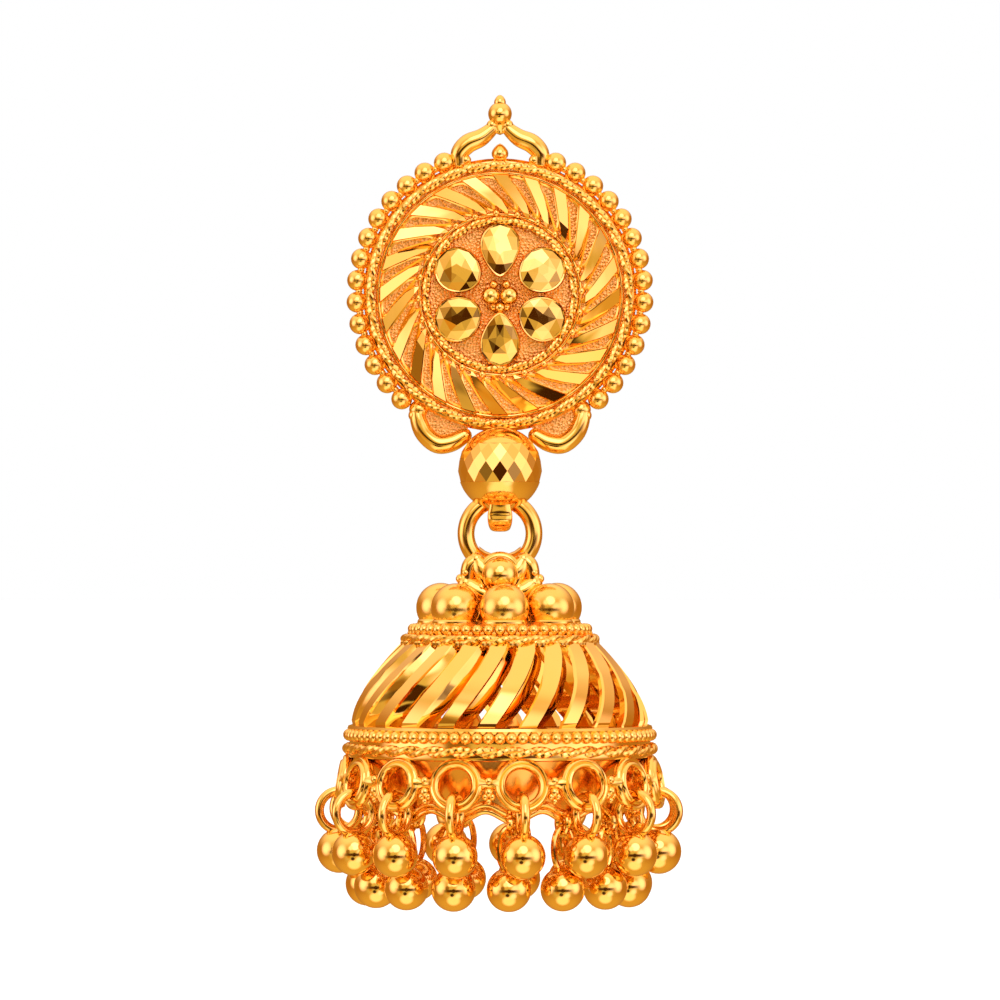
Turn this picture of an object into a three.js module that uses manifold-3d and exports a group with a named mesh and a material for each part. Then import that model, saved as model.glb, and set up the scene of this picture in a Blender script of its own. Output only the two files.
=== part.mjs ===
// Jhumka earring in gold: a round stud, a hanging ring, and a pierced dome with a double fringe of drops.
// Millimetres, +Z up, the front looks towards -Y. The origin is where the ear post leaves the
// flat back of the stud, level with the centre of the disc.
import * as THREE from "three";
import { mergeVertices } from "three/addons/utils/BufferGeometryUtils.js";
import Module from "manifold-3d";

const wasm = await Module();
wasm.setup();

// Sides of round things
const BEAD_SIDES = 10;
const BEAD_STACKS = 4;
const BALL_SIDES = 12;
const LINK_SIDES = 9;
const WIRE_SIDES = 5;
const DISC_SIDES = 24;
const DOME_SIDES = 24;

// Running and seating clearances
const RUN_GAP = 0.12;
const SEAT_GAP = 0.15;
const WELD = 0.2; // how far soldered pieces run into each other

// Stud disc
const DISC_R = 7.6;
const GROUND_T = 0.9; // plate under the blades
const RECESS_T = 0.75; // plate under the flower
const ROPE_OUT_R = 7.08;
const ROPE_OUT_WIRE = 0.54;
const ROPE_IN_R = 4.13;
const ROPE_IN_WIRE = 0.4;
const ROPE_STAND = 0.6; // height of both twisted rings over their plate

// Beaded border
const BORDER_BEAD_R = 0.585;
const BORDER_BEADS = 14; // on each side
const BORDER_FROM = 22.9; // degrees from the top
const BORDER_STEP = 8.75;
const BORDER_CORNERS = 4; // of the outline round each bead
const BORDER_OUT = 0.37; // middle of the beads outside the rim of the disc
const BORDER_BACK = 0.02; // behind the beads, to the flat back

// Blades
const BLADES = 24;
const BLADE_OUT_W = 0.95;
const BLADE_IN_W = 0.6;
const BLADE_STAND = 0.6;
const BLADE_GAP = 0.08; // to the outer twisted ring
const BLADE_SWEEP = 20; // degrees that the inner end runs ahead

// Flower
const PETALS = 6;
const PETAL_W = 2.45;
const PETAL_L = 2.65;
const PETAL_R = 2.62; // from the centre of the disc to the centre of a petal
const PETAL_STAND = 1.1;
const PISTIL_R = 0.5;
const PISTIL_SMALL_R = 0.3;

// Crest
const CREST_TUBE = 0.95;
const CREST_HALF_W = 2.2;
const CREST_H = 1.55; // from the rim of the disc to the top of the arms
const CREST_BACK = 0.1; // behind the arms, to the flat back
const FINIAL_R = 0.66;
const TIP_R = 0.33;
const PEAR_R = 0.45;

// Lower scrolls
const SCROLL_TUBE = 0.95;
const SCROLL_HALF_W = 4.5;
const SCROLL_DROP = 0.82; // lowest centre line under the rim of the disc
const POCKET_T = 0.5;
const SCROLL_BACK = 0.15; // behind the scrolls, to the flat back
const POCKET_BACK = 0.1;

// Faceted ball and eye
const BALL_R = 2.335;
const BALL_SINK = 0.245; // into the rim of the disc
const HANG_OUT = 1.6; // hanging axis in front of the flat back
const EYE_W = 1.45;
const EYE_WALL = 0.4;
const EYE_SILL = 0.94;
const EYE_SIDE_GAP = 0.2; // in front of the ring and behind it at the ends of its swing
const RING_SEAT = 1.7; // top wire of the ring under the centre of the ball

// Ear post
const POST_R = 0.5;
const POST_L = 10.5;
const SOCKET_DEPTH = 0.5;

// Hanging ring
const RING_R = 1.89;
const RING_WIRE = 0.94;
const RING_SWING = 25; // degrees, each way

// Bail and crown
const BAIL_HALF_W = 1.15;
const BAIL_WALL = 0.32;
const BAIL_SIDES = 12;
const CROWN_H = 2.6; // from the ring's bottom wire to the top of the cap
const CROWN_BALL_R = 1.0;
const NECK_R = 0.9;
const NECK_FOOT_R = 2.2;
const KNOB_R = 0.42;
const KNOB_OUT = 2.05;
const CAP_BALLS = 7;
const CAP_BALL_R = 1.375;
const CAP_BALL_RING = 3.33;
const CAP_BALL_RISE = 0.37; // middle of the balls over the cap
const CAP_BALL_TURN = 4; // degrees

// Dome
const DOME_TOP_R = 5.45;
const DOME_RIM_R = 8.22;
const DOME_H = 4.6;
const DOME_FULLNESS = 1.8;
const CAP_H = 1.6; // from the top of the cap down to the ribs
const CAP_T = 0.8;
const CAP_STEP = 0.55; // from the beaded ring out to the twisted one
const RIBS = 22;
const RIB_W = 1.0;
const RIB_T = 0.75;
const RIB_TWIST = 22.5; // degrees, top ahead of bottom
const RIB_STEPS = 3;
const RIB_INNER = 0.45; // half width inside, as a share of the width
const BAND_H = 1.75;
const BAND_T = 0.75;
const BAND_WIRE = 0.62;
const BAND_OUT = 0.5; // in front of the ribs

// Outer loops
const LOOPS = 15;
const LOOP_TURN = 8; // degrees from the front
const LOOP_R = 1.215;
const LOOP_WIRE = 0.6;
const LOOP_RING = 8.72; // centres of the loops from the axis
const LOOP_FLARE = 10; // degrees, feet outwards

// Lower oval loops
const OVAL_TURN = 6;
const OVAL_HALF_H = 1.7;
const OVAL_WIRE = 0.4;
const OVAL_RING = 7.78;
const OVAL_LEAN = 14; // degrees, feet inwards
const OVAL_STEPS = 5; // of the lower wire under each loop
const OVAL_DIP = 0.6; // depth of each dip, as a share of the half height

// Outer drops
const DROP_BALL_R = 1.25;
const DROP_RING_R = 1.1;
const DROP_WIRE = 0.52;
const DROP_SINK = 0.37; // the jump ring in the notch of the ball

// Inner drops
const INNER_TURN = 3.8;
const INNER_BALL_R = 1.225;
const INNER_RING_R = 0.6;
const INNER_WIRE = 0.4;
const INNER_LINK = 1.8; // from the small ring to the ball
const INNER_LINK_WIRE = 0.5;
const INNER_GAP = 0.1; // over the lower wire

// Places that follow from the sizes
const AXIS_Y = -HANG_OUT;
const BALL_Z = -(DISC_R + BALL_R - BALL_SINK);
const RING_TOP_Z = BALL_Z - RING_SEAT;
const RING_Z = RING_TOP_Z - RING_R;
const RING_LOW_Z = RING_Z - RING_R;
const CAP_Z = RING_LOW_Z - CROWN_H;
const RIB_TOP_Z = CAP_Z - CAP_H;
const BAND_Z = RIB_TOP_Z - DOME_H;
const BAND_LOW_Z = BAND_Z - BAND_H;
const LOOP_Z = BAND_LOW_Z - LOOP_R * Math.cos(rad(LOOP_FLARE)) - LOOP_WIRE / 2 + WELD;
const OVAL_Z = BAND_LOW_Z - OVAL_HALF_H * Math.cos(rad(OVAL_LEAN));

function rad(degrees) {
  return THREE.MathUtils.degToRad(degrees);
}

// Closed geometry to a solid, with its faces turned outwards.
function solid(geometry) {
  const bare = new THREE.BufferGeometry().setAttribute("position", geometry.attributes.position);
  if (geometry.index) bare.setIndex(geometry.index);
  const merged = mergeVertices(bare, 1e-4);
  const corners = merged.index.array;
  const kept = [];
  for (let i = 0; i < corners.length; i += 3) {
    const [a, b, c] = [corners[i], corners[i + 1], corners[i + 2]];
    if (a !== b && b !== c && c !== a) kept.push(a, b, c);
  }
  const make = (triangles) =>
    new wasm.Manifold(
      new wasm.Mesh({
        numProp: 3,
        vertProperties: merged.attributes.position.array,
        triVerts: new Uint32Array(triangles),
      }),
    );
  const made = make(kept);
  return made.volume() < 0 ? make(kept.reverse()) : made;
}

function join(solids) {
  return solids.reduce((whole, piece) => whole.add(piece));
}

function toGeometry(made) {
  const mesh = made.getMesh();
  const geometry = new THREE.BufferGeometry();
  geometry.setAttribute("position", new THREE.BufferAttribute(mesh.vertProperties, 3));
  geometry.setIndex(new THREE.BufferAttribute(mesh.triVerts, 1));
  geometry.computeVertexNormals();
  return geometry;
}

// Round bead or ball, its poles up and down.
function bead(radius, x, y, z, sides = BEAD_SIDES, stacks = BEAD_STACKS) {
  return solid(new THREE.SphereGeometry(radius, sides, stacks).rotateX(Math.PI / 2).translate(x, y, z));
}

// Profile of [radius, height] points turned about the Z axis; angle 0 is the front.
function turnedZ(profile, sides) {
  const points = profile.map(([r, z]) => new THREE.Vector2(r, z));
  return solid(new THREE.LatheGeometry(points, sides).rotateX(Math.PI / 2));
}

// The same about the Y axis, with [radius, y] points.
function turnedY(profile, sides) {
  return solid(new THREE.LatheGeometry(profile.map(([r, y]) => new THREE.Vector2(r, y)), sides));
}

// Straight or curved round wire along points.
function wire(points, diameter, steps, sides = 6) {
  const path = new THREE.CatmullRomCurve3(points);
  const section = new THREE.Shape();
  for (let i = 0; i < sides; i++) {
    const a = (i / sides) * 2 * Math.PI;
    section[i ? "lineTo" : "moveTo"]((diameter / 2) * Math.cos(a), (diameter / 2) * Math.sin(a));
  }
  return solid(new THREE.ExtrudeGeometry(section, { steps, extrudePath: path, bevelEnabled: false }));
}

// Wire ring or oval in the XZ plane, its hole along Y.
function link(halfW, halfH, diameter, sides = LINK_SIDES, wireSides = WIRE_SIDES) {
  const geometry = new THREE.TorusGeometry(halfW, diameter / 2, wireSides, sides);
  const at = geometry.attributes.position;
  for (let i = 0; i < at.count; i++) {
    const around = Math.atan2(at.getY(i), at.getX(i));
    at.setY(i, at.getY(i) + (halfH - halfW) * Math.sin(around));
  }
  return geometry.rotateX(Math.PI / 2);
}

// Solid through rows of corner points, closed at both ends round the middle of the row.
function loft(rows) {
  const n = rows[0].length;
  const middle = (row) => row.reduce((sum, p) => sum.clone().add(p)).clone().divideScalar(n);
  const points = [...rows.flat(), middle(rows[0]), middle(rows.at(-1))];
  const [first, last] = [rows.length * n, rows.length * n + 1];
  const index = [];
  for (let i = 0; i < n; i++) {
    const next = (i + 1) % n;
    for (let r = 0; r + 1 < rows.length; r++) {
      const [a, b] = [r * n + i, r * n + next];
      index.push(a, b, b + n, a, b + n, a + n);
    }
    const top = (rows.length - 1) * n;
    index.push(first, next, i, last, top + i, top + next);
  }
  const geometry = new THREE.BufferGeometry().setFromPoints(points);
  geometry.setIndex(index);
  return solid(geometry);
}

// Point on the stud: radius and clockwise angle from the top as seen from the front.
function onDisc(r, degrees, y) {
  return new THREE.Vector3(r * Math.sin(rad(degrees)), y, r * Math.cos(rad(degrees)));
}

// Plate of the stud with its two twisted rings
function discPlate() {
  const rope = (ring, width, base) => [
    [ring - width / 2, -base],
    [ring - width / 3, -base - ROPE_STAND],
    [ring + width / 3, -base - ROPE_STAND],
    [ring + width / 2, -base],
  ];
  return turnedY(
    [
      [0, -RECESS_T],
      ...rope(ROPE_IN_R, ROPE_IN_WIRE, RECESS_T),
      [ROPE_IN_R + ROPE_IN_WIRE / 2, -GROUND_T],
      ...rope(ROPE_OUT_R, ROPE_OUT_WIRE, GROUND_T),
      [DISC_R, -GROUND_T],
      [DISC_R, 0],
      [0, 0],
    ],
    DISC_SIDES,
  );
}

// Beaded border: a rim whose outline goes round each bead, thickest through the middle of the beads
function beadedBorder() {
  const centre = DISC_R + BORDER_OUT;
  const level = (y, share) => {
    const points = [];
    for (let i = 0; i < 2 * BORDER_BEADS; i++) {
      const side = i < BORDER_BEADS ? 1 : -1;
      const turn = side > 0 ? i : 2 * BORDER_BEADS - 1 - i;
      const middle = side * (BORDER_FROM + turn * BORDER_STEP);
      for (let k = 0; k < BORDER_CORNERS; k++) {
        const a = rad(-90 + (180 * k) / (BORDER_CORNERS - 1));
        const out = centre + share * BORDER_BEAD_R * Math.cos(a);
        const across = share * BORDER_BEAD_R * Math.sin(a);
        points.push(onDisc(out, middle + THREE.MathUtils.radToDeg(across / out), y));
      }
    }
    return points;
  };
  const middleY = -BORDER_BACK - BORDER_BEAD_R;
  const slope = 0.6 * BORDER_BEAD_R;
  return loft([level(middleY + slope, 0.75), level(middleY, 1), level(middleY - slope, 0.75)]);
}

function blades() {
  const inner = ROPE_IN_R + ROPE_IN_WIRE;
  const outer = ROPE_OUT_R - ROPE_OUT_WIRE / 2 - BLADE_GAP;
  const made = [];
  for (let i = 0; i < BLADES; i++) {
    const from = (i * 360) / BLADES;
    const end = (r, degrees, width) => {
      const half = THREE.MathUtils.radToDeg(width / 2 / r);
      return [
        onDisc(r, degrees - half, -GROUND_T + WELD),
        onDisc(r, degrees + half, -GROUND_T + WELD),
        onDisc(r, degrees + 0.8 * half, -GROUND_T - 0.6 * BLADE_STAND),
        onDisc(r, degrees - 0.8 * half, -GROUND_T - BLADE_STAND),
      ];
    };
    made.push(loft([end(inner, from + BLADE_SWEEP, BLADE_IN_W), end(outer, from, BLADE_OUT_W)]));
  }
  return made;
}

// Six cut petals, each an egg-shaped outline with a girdle, ten facets and a table, and three beads
function flower() {
  const made = [];
  for (let i = 0; i < PETALS; i++) {
    const turn = rad((i * 360) / PETALS);
    const row = (share, y) => {
      const points = [];
      for (let k = 0; k < BEAD_SIDES; k++) {
        const a = (k / BEAD_SIDES) * 2 * Math.PI;
        const taper = 1 - 0.22 * (1 - Math.cos(a)) * 0.5;
        const across = share * (PETAL_W / 2) * Math.sin(a) * taper;
        const out = PETAL_R + share * (PETAL_L / 2) * Math.cos(a);
        points.push(
          new THREE.Vector3(
            out * Math.sin(turn) + across * Math.cos(turn),
            y,
            out * Math.cos(turn) - across * Math.sin(turn),
          ),
        );
      }
      return points;
    };
    made.push(
      loft([
        row(0.9, -RECESS_T + WELD),
        row(1, -RECESS_T - PETAL_STAND * 0.5),
        row(0.5, -RECESS_T - PETAL_STAND),
      ]),
    );
  }
  const y = -RECESS_T - 0.6 * PISTIL_R;
  made.push(bead(PISTIL_R, -PISTIL_R, y, 0), bead(PISTIL_R, PISTIL_R, y, 0));
  made.push(bead(PISTIL_SMALL_R, 0, -RECESS_T - 0.6 * PISTIL_SMALL_R, -PISTIL_R - PISTIL_SMALL_R));
  return made;
}

// Crest arms as shares of the half width and of the height over the rim
const CREST_ROUTE = [
  { across: 0.95, up: -0.2 },
  { across: 1, up: 0.2 },
  { across: 0.93, up: 0.5 },
  { across: 0.68, up: 0.63 },
  { across: 0.39, up: 0.86 },
  { across: 0.22, up: 1 },
  { across: 0, up: 0.9 },
];

function crest() {
  const y = -CREST_TUBE / 2 - CREST_BACK;
  const made = [-1, 1].map((side) =>
    wire(
      CREST_ROUTE.map((p) => new THREE.Vector3(side * p.across * CREST_HALF_W, y, DISC_R + p.up * CREST_H)),
      CREST_TUBE,
      CREST_ROUTE.length + 1,
      WIRE_SIDES,
    ),
  );
  const neck = DISC_R + CREST_H * CREST_ROUTE.at(-1).up;
  const finial = neck + CREST_TUBE / 2 + 0.85 * FINIAL_R;
  const tip = finial + FINIAL_R + 0.3 * TIP_R;
  made.push(
    turnedZ(
      [
        [0, neck],
        [0.7 * FINIAL_R, neck + 0.1],
        [0.6 * FINIAL_R, finial - 0.9 * FINIAL_R],
        [FINIAL_R, finial],
        [0.6 * FINIAL_R, finial + 0.75 * FINIAL_R],
        [TIP_R, tip],
        [0, tip + TIP_R],
      ],
      BEAD_SIDES,
    ).translate([0, y, 0]),
  );
  made.push(bead(PEAR_R, 0, y, DISC_R + 0.75 * PEAR_R));
  return made;
}

// Lower scrolls as shares of the half width and of the drop under the rim
const SCROLL_ROUTE = [
  { across: 1.01, down: -1.4 },
  { across: 0.97, down: 0.05 },
  { across: 0.79, down: 1 },
  { across: 0.44, down: 0.32 },
];

function scrolls() {
  const y = -SCROLL_TUBE / 2 - SCROLL_BACK;
  const z = (down) => -(DISC_R + down * SCROLL_DROP);
  return [-1, 1].flatMap((side) => {
    const points = SCROLL_ROUTE.map((p) => new THREE.Vector3(side * p.across * SCROLL_HALF_W, y, z(p.down)));
    const pocket = [...points, new THREE.Vector3(0.3 * side * SCROLL_HALF_W, y, z(-2))];
    const level = (depth) => pocket.map((p) => new THREE.Vector3(p.x, depth, p.z));
    return [wire(points, SCROLL_TUBE, 6), loft([level(-POCKET_BACK), level(-POCKET_BACK - POCKET_T)])];
  });
}

// Faceted ball and the eye under it, slotted along X for the hanging ring
function ballAndEye() {
  const wireDrop = RING_R * (1 - Math.cos(Math.PI / 4)); // of the ring's wire where it leaves the slot
  const slotHalf = RING_WIRE / 2 + 0.85 * wireDrop * Math.sin(rad(RING_SWING)) + EYE_SIDE_GAP;
  const wireRise = RING_R - Math.sqrt(RING_R ** 2 - (EYE_W / 2) ** 2);
  const sill = RING_TOP_Z - RING_WIRE / 2 - wireRise - 2 * RUN_GAP;
  const ceiling = RING_TOP_Z + RING_WIRE / 2 + 2 * RUN_GAP;
  const half = slotHalf + EYE_WALL;
  const foot = sill - EYE_SILL;
  const outline = new THREE.Shape();
  outline.moveTo(-half, ceiling);
  outline.lineTo(-half, sill);
  outline.quadraticCurveTo(-half, foot, -0.35 * half, foot);
  outline.lineTo(0.35 * half, foot);
  outline.quadraticCurveTo(half, foot, half, sill);
  outline.lineTo(half, ceiling);
  const strap = new THREE.ExtrudeGeometry(outline, { depth: EYE_W, bevelEnabled: false, curveSegments: 3 });
  strap.translate(0, 0, -EYE_W / 2).rotateX(Math.PI / 2).rotateZ(Math.PI / 2).translate(0, AXIS_Y, 0);
  const slot = new THREE.BoxGeometry(3 * BALL_R, 2 * slotHalf, ceiling - sill);
  slot.translate(0, AXIS_Y, (ceiling + sill) / 2);
  return bead(BALL_R, 0, AXIS_Y, BALL_Z, BALL_SIDES, BALL_SIDES / 2).add(solid(strap)).subtract(solid(slot));
}

function stud() {
  const socket = new THREE.CylinderGeometry(POST_R + SEAT_GAP, POST_R + SEAT_GAP, 2 * SOCKET_DEPTH, 12);
  return join([discPlate(), beadedBorder(), ...blades(), ...flower(), ...crest(), ...scrolls(), ballAndEye()])
    .subtract(solid(socket));
}

function earPost() {
  const inside = -SOCKET_DEPTH + SEAT_GAP;
  return turnedY(
    [[0, inside], [POST_R, inside], [POST_R, POST_L - POST_R], [0.5 * POST_R, POST_L], [0, POST_L]],
    12,
  );
}

function hangingRing() {
  return solid(link(RING_R, RING_R, RING_WIRE, 16, 6).translate(0, 0, RING_Z));
}

// Outer radius of the dome at a share of its height, from the cap down
function domeRadius(share) {
  return DOME_TOP_R + (DOME_RIM_R - DOME_TOP_R) * (1 - (1 - share) ** DOME_FULLNESS);
}

// Flared bail round the ring's bottom wire, with its hole along X
function bail() {
  const rise = (x) => RING_R - Math.sqrt(RING_R ** 2 - x ** 2);
  const steep = RING_R / Math.sqrt(RING_R ** 2 - BAIL_HALF_W ** 2);
  const holeMid = RING_WIRE / 2 + 1.5 * RUN_GAP;
  const holeEnd = rise(BAIL_HALF_W) + (RING_WIRE / 2) * steep + RUN_GAP;
  const profile = [
    [holeEnd, -BAIL_HALF_W],
    [holeMid, 0],
    [holeEnd, BAIL_HALF_W],
    [holeEnd + BAIL_WALL, BAIL_HALF_W],
    [holeMid + BAIL_WALL, 0],
    [holeEnd + BAIL_WALL, -BAIL_HALF_W],
    [holeEnd, -BAIL_HALF_W],
  ].map(([r, x]) => new THREE.Vector2(r, x));
  const shape = new THREE.LatheGeometry(profile, BAIL_SIDES).rotateZ(-Math.PI / 2);
  const foot = RING_LOW_Z - holeMid - BAIL_WALL / 2;
  const neck = turnedZ(
    [
      [0, foot],
      [NECK_R, foot],
      [(3 * NECK_R + NECK_FOOT_R) / 4, (foot + CAP_Z) / 2],
      [NECK_FOOT_R, CAP_Z],
      [NECK_FOOT_R, CAP_Z - CAP_T / 2],
      [0, CAP_Z - CAP_T / 2],
    ],
    BEAD_SIDES,
  );
  const z = CAP_Z + CAP_BALL_R + 0.85 * CROWN_BALL_R;
  const out = holeMid + BAIL_WALL + 0.75 * CROWN_BALL_R;
  const made = [solid(shape.translate(0, 0, RING_LOW_Z)), neck];
  made.push(bead(CROWN_BALL_R, 0, -out, z), bead(CROWN_BALL_R, 0, out, z));
  for (const side of [-1, 1]) {
    const start = new THREE.Vector3(side * 0.7 * NECK_R, 0, CAP_Z + KNOB_R);
    const knob = new THREE.Vector3(side * KNOB_OUT, 0, z - CROWN_BALL_R / 5);
    made.push(wire([start, knob], 2 * KNOB_R, 1));
  }
  return made;
}

function capBalls() {
  const made = [];
  for (let i = 0; i < CAP_BALLS; i++) {
    const a = rad(CAP_BALL_TURN + (i * 360) / CAP_BALLS);
    made.push(
      bead(CAP_BALL_R, CAP_BALL_RING * Math.sin(a), -CAP_BALL_RING * Math.cos(a), CAP_Z + CAP_BALL_RISE),
    );
  }
  return made;
}

function cap() {
  const beaded = DOME_TOP_R - CAP_STEP;
  return turnedZ(
    [
      [0, CAP_Z],
      [0.8 * beaded, CAP_Z - 0.25 * CAP_H],
      [beaded, CAP_Z - 0.38 * CAP_H],
      [beaded, CAP_Z - 0.65 * CAP_H],
      [DOME_TOP_R, CAP_Z - 0.7 * CAP_H],
      [DOME_TOP_R, CAP_Z - CAP_H],
      [DOME_TOP_R - CAP_T, CAP_Z - CAP_H],
      [0, CAP_Z - CAP_T],
    ],
    RIBS,
  );
}

function ribs() {
  const made = [];
  for (let i = 0; i < RIBS; i++) {
    const rows = [];
    for (let k = 0; k <= RIB_STEPS; k++) {
      const share = k / RIB_STEPS;
      const outer = domeRadius(share) - (k === 0 ? SEAT_GAP : 0);
      const a = rad((i * 360) / RIBS - RIB_TWIST * share);
      const z = RIB_TOP_Z - share * DOME_H + (k === 0 ? WELD : k === RIB_STEPS ? -WELD : 0);
      const corner = (r, across) =>
        new THREE.Vector3(r * Math.sin(a) + across * Math.cos(a), -r * Math.cos(a) + across * Math.sin(a), z);
      rows.push([
        corner(outer, -RIB_W / 2),
        corner(outer, RIB_W / 2),
        corner(outer - RIB_T, RIB_INNER * RIB_W),
        corner(outer - RIB_T, -RIB_INNER * RIB_W),
      ]);
    }
    made.push(loft(rows));
  }
  return made;
}

// Rim band: a beaded wire over a twisted one
function band() {
  const outer = DOME_RIM_R + BAND_OUT;
  const groove = outer - BAND_WIRE / 2;
  return turnedZ(
    [
      [outer - BAND_T, BAND_Z],
      [outer, BAND_Z - 0.15 * BAND_H],
      [groove, BAND_Z - BAND_H / 2],
      [outer, BAND_Z - 0.8 * BAND_H],
      [outer - BAND_WIRE / 6, BAND_LOW_Z],
      [outer - BAND_T, BAND_LOW_Z],
      [outer - BAND_T, BAND_Z],
    ],
    DOME_SIDES,
  );
}

function loops() {
  const made = [];
  for (let i = 0; i < LOOPS; i++) {
    const a = rad(LOOP_TURN + (i * 360) / LOOPS);
    const loop = link(LOOP_R, LOOP_R, LOOP_WIRE).rotateX(-rad(LOOP_FLARE));
    made.push(solid(loop.translate(0, -LOOP_RING, LOOP_Z).rotateZ(a)));
  }
  return made;
}

// Lower row of loops: a wire that dips once under each outer loop, on legs from the rim band
function lowerLoops() {
  const low = OVAL_HALF_H * Math.cos(rad(OVAL_LEAN));
  const lean = Math.tan(rad(OVAL_LEAN));
  const wave = new THREE.TorusGeometry(OVAL_RING, OVAL_WIRE / 2, WIRE_SIDES, LOOPS * OVAL_STEPS);
  wave.rotateZ(-Math.PI / 2);
  const at = wave.attributes.position;
  for (let i = 0; i < at.count; i++) {
    const around = Math.atan2(at.getX(i), -at.getY(i)) * LOOPS;
    const dip = low * (1 - (OVAL_DIP / 2) * (1 - Math.cos(around)));
    const radius = Math.hypot(at.getX(i), at.getY(i));
    const moved = (radius - dip * lean) / radius;
    at.setXYZ(i, at.getX(i) * moved, at.getY(i) * moved, at.getZ(i) + OVAL_Z - dip);
  }
  const made = [solid(wave.rotateZ(rad(OVAL_TURN)))];
  const foot = low * (1 - OVAL_DIP); // of the legs, under the middle of the loops
  const middle = (low + WELD - foot) / 2;
  const length = (low + WELD + foot) / Math.cos(rad(OVAL_LEAN));
  for (let i = 0; i < LOOPS; i++) {
    const leg = new THREE.CylinderGeometry(OVAL_WIRE / 2, OVAL_WIRE / 2, length, WIRE_SIDES);
    leg.rotateX(Math.PI / 2 + rad(OVAL_LEAN)).translate(0, -OVAL_RING - middle * lean, OVAL_Z + middle);
    made.push(solid(leg.rotateZ(rad(OVAL_TURN + ((i + 0.5) * 360) / LOOPS))));
  }
  return made;
}

function dome() {
  return join([...bail(), cap(), ...capBalls(), ...ribs(), band(), ...loops(), ...lowerLoops()]);
}

// Jump ring in a radial plane and a ball under it, hung on the foot of an outer loop at the front
function outerDrop() {
  const foot = LOOP_RING + LOOP_R * Math.sin(rad(LOOP_FLARE));
  const footZ = LOOP_Z - LOOP_R * Math.cos(rad(LOOP_FLARE));
  const ringZ = footZ + LOOP_WIRE / 2 + RUN_GAP - (DROP_RING_R - DROP_WIRE / 2);
  const ballZ = ringZ - DROP_RING_R - DROP_WIRE / 2 + DROP_SINK - DROP_BALL_R;
  const ring = link(DROP_RING_R, DROP_RING_R, DROP_WIRE).rotateZ(Math.PI / 2).translate(0, -foot, ringZ);
  return solid(ring).add(bead(DROP_BALL_R, 0, -foot, ballZ));
}

// Small jump ring, link and ball, hung on the foot of a lower oval loop at the front
function innerDrop() {
  const foot = OVAL_RING - OVAL_HALF_H * Math.sin(rad(OVAL_LEAN));
  const wireTop = OVAL_Z - OVAL_HALF_H * Math.cos(rad(OVAL_LEAN)) + OVAL_WIRE / 2;
  const ringZ = wireTop + INNER_GAP + INNER_WIRE / 2 - INNER_RING_R;
  const ringFoot = ringZ - INNER_RING_R;
  const ballZ = ringFoot - INNER_LINK - INNER_BALL_R;
  const ring = link(INNER_RING_R, INNER_RING_R, INNER_WIRE).rotateZ(Math.PI / 2).translate(0, -foot, ringZ);
  const half = INNER_LINK_WIRE / 2;
  const pin = new THREE.CylinderGeometry(half, half, INNER_LINK + WELD, 6).rotateX(Math.PI / 2);
  pin.translate(0, -foot, ringFoot - (INNER_LINK + WELD) / 2);
  return join([solid(ring), solid(pin), bead(INNER_BALL_R, 0, -foot, ballZ)]);
}

// Finishes
function gold(color, roughness) {
  return new THREE.MeshStandardMaterial({ color, metalness: 1, roughness });
}
const polished = gold(0xf5b73a, 0.15);
const cut = gold(0xf0b040, 0.2);
const wireGold = gold(0xe9a52e, 0.22);

function piece(name, geometry, material) {
  const mesh = new THREE.Mesh(geometry, material);
  mesh.name = name;
  return mesh;
}

const earring = new THREE.Group();
earring.add(piece("stud", toGeometry(stud()), cut));
earring.add(piece("ear_post", toGeometry(earPost()), polished));

const hanging = new THREE.Group();
hanging.position.y = AXIS_Y;
hanging.add(piece("hanging_ring", toGeometry(hangingRing()), wireGold));
hanging.add(piece("dome", toGeometry(dome()), cut));
const outerShape = toGeometry(outerDrop());
const innerShape = toGeometry(innerDrop());
for (let i = 0; i < LOOPS; i++) {
  const number = String(i + 1).padStart(2, "0");
  const outer = piece("outer_drop_" + number, outerShape, polished);
  outer.rotation.z = rad(LOOP_TURN + (i * 360) / LOOPS);
  const inner = piece("inner_drop_" + number, innerShape, polished);
  inner.rotation.z = rad(INNER_TURN + (i * 360) / LOOPS);
  hanging.add(outer, inner);
}
earring.add(hanging);

export default earring;
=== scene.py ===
import math

import bmesh
import bpy
from mathutils import Matrix, Vector


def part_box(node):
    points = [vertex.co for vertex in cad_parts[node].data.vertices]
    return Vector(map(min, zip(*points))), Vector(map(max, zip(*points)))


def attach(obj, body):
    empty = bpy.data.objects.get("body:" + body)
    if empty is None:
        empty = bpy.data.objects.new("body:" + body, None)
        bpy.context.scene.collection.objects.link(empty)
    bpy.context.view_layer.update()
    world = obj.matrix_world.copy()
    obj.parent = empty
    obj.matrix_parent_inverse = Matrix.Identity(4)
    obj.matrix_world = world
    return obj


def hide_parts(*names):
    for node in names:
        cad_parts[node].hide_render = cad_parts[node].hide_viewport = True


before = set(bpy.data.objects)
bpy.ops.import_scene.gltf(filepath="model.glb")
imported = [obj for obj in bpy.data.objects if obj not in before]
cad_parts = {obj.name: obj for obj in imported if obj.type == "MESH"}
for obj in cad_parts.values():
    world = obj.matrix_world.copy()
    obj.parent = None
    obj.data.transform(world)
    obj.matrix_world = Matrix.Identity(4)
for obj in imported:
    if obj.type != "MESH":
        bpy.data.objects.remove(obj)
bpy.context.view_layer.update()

MM = 0.001
TAU = 2 * math.pi


def node_box(name):
    low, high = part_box(name)
    return low / MM, high / MM


# Photograph: its scale and the place of the earring in it
PHOTO_SIDE = 1000  # pixels
PHOTO_SCALE = 18.0  # pixels per millimetre at the earring
PHOTO_DISC_Y = 294.5  # pixel row of the centre of the stud
CAMERA_AWAY = 480.0
SENSOR = 36.0

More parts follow.
